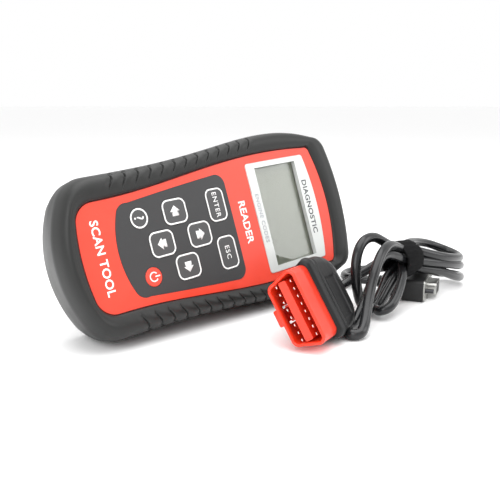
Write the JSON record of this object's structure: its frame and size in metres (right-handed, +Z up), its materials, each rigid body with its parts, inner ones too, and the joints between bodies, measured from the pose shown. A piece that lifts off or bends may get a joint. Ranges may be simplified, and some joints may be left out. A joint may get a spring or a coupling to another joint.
{
  "type": "vehicle diagnostic code reader",
  "caption": "Handheld engine code reader with red face, grey rubber boot, keypad and window, standing on its side beside its strapped diagnostic lead.",
  "frame": {"origin": "middle of the reader's box, on the surface it stands on", "axes": "+X along the reader's long axis towards its screen end, +Z up, keypad face towards -Y"},
  "size_m": [0.2677, 0.1346, 0.0989],
  "materials": {
    "red_shell": "satin moulded",
    "dark_shell": "fine spark texture",
    "boot_rubber": "matte moulded",
    "silver_frame": "satin silver paint",
    "lens": "clear",
    "screen": "satin",
    "light_guide": "white",
    "pressed_steel": "tinned",
    "keypad_skin": "fine texture",
    "key_plastic": "fine texture",
    "switch_plastic": "moulded",
    "board": "solder mask",
    "chip_plastic": "moulded",
    "screw_steel": "black zinc",
    "label": "satin film",
    "connector_shell": "tin plated",
    "connector_plastic": "moulded",
    "gold_contact": "gold plated",
    "red_plug": "satin moulded",
    "pin_metal": "tin plated",
    "plug_rubber": "moulded",
    "knob_metal": "black knurled",
    "cable_jacket": "glossy",
    "hook_and_loop": "woven"
  },
  "bodies": {
    "root": {"front_shell": "red_shell", "rear_shell": "dark_shell", "rubber_boot": "boot_rubber", "window_frame": "silver_frame", "display_lens": "lens", "lcd_glass": "screen", "lcd_backlight": "light_guide", "lcd_bezel": "pressed_steel", "keypad_overlay": "keypad_skin", "key_switches": "switch_plastic", "main_board": "board", "processor_chip": "chip_plastic", "transceiver_chips": "chip_plastic", "clock_crystal": "pressed_steel", "beeper": "switch_plastic", "board_screws": "screw_steel", "case_screws": "screw_steel", "rear_label": "label", "socket_shell": "connector_shell", "socket_insert": "connector_plastic", "socket_contacts": "gold_contact", "jack_posts": "connector_shell", "plug_hood": "red_plug", "plug_carrier": "red_plug", "plug_pins": "pin_metal", "plug_body": "plug_rubber", "plug_strain_relief": "plug_rubber", "end_plug_hood": "plug_rubber", "end_plug_shell": "connector_shell", "end_plug_insert": "connector_plastic", "end_plug_sockets": "gold_contact", "end_plug_strain_relief": "plug_rubber", "cable_from_plug": "cable_jacket", "cable_to_reader_end": "cable_jacket", "hank_left_loops": "cable_jacket", "hank_right_loops": "cable_jacket", "hank_strap": "hook_and_loop"},
    "key_help": {"key_help": "key_plastic"},
    "key_power": {"key_power": "key_plastic"},
    "key_left": {"key_left": "key_plastic"},
    "key_right": {"key_right": "key_plastic"},
    "key_up": {"key_up": "key_plastic"},
    "key_down": {"key_down": "key_plastic"},
    "key_enter": {"key_enter": "key_plastic"},
    "key_esc": {"key_esc": "key_plastic"},
    "thumbscrew_near": {"thumbscrew_near": "knob_metal"},
    "thumbscrew_far": {"thumbscrew_far": "knob_metal"}
  },
  "joints": [
    {"name": "key_help_press", "type": "slide", "parent": "root", "child": "key_help", "axis": [0.0197, 0.9591, -0.2823], "range_m": [0, 0.0005], "stiffness_N_per_m": 3000, "springref_m": -0.0002},
    {"name": "key_power_press", "type": "slide", "parent": "root", "child": "key_power", "axis": [0.0197, 0.9591, -0.2823], "range_m": [0, 0.0005], "stiffness_N_per_m": 3000, "springref_m": -0.0002},
    {"name": "key_left_press", "type": "slide", "parent": "root", "child": "key_left", "axis": [0.0197, 0.9591, -0.2823], "range_m": [0, 0.0005], "stiffness_N_per_m": 3000, "springref_m": -0.0002},
    {"name": "key_right_press", "type": "slide", "parent": "root", "child": "key_right", "axis": [0.0197, 0.9591, -0.2823], "range_m": [0, 0.0005], "stiffness_N_per_m": 3000, "springref_m": -0.0002},
    {"name": "key_up_press", "type": "slide", "parent": "root", "child": "key_up", "axis": [0.0197, 0.9591, -0.2823], "range_m": [0, 0.0005], "stiffness_N_per_m": 3000, "springref_m": -0.0002},
    {"name": "key_down_press", "type": "slide", "parent": "root", "child": "key_down", "axis": [0.0197, 0.9591, -0.2823], "range_m": [0, 0.0005], "stiffness_N_per_m": 3000, "springref_m": -0.0002},
    {"name": "key_enter_press", "type": "slide", "parent": "root", "child": "key_enter", "axis": [0.0197, 0.9591, -0.2823], "range_m": [0, 0.0005], "stiffness_N_per_m": 3000, "springref_m": -0.0002},
    {"name": "key_esc_press", "type": "slide", "parent": "root", "child": "key_esc", "axis": [0.0197, 0.9591, -0.2823], "range_m": [0, 0.0005], "stiffness_N_per_m": 3000, "springref_m": -0.0002},
    {"name": "thumbscrew_near_spin", "type": "hinge", "parent": "root", "child": "thumbscrew_near", "pos_m": [0.10037, -0.07995, 0.0067], "axis": [0.4108, -0.9117, 0], "continuous": true},
    {"name": "thumbscrew_far_spin", "type": "hinge", "parent": "root", "child": "thumbscrew_far", "pos_m": [0.12316, -0.06969, 0.0067], "axis": [0.4108, -0.9117, 0], "continuous": true}
  ]
}
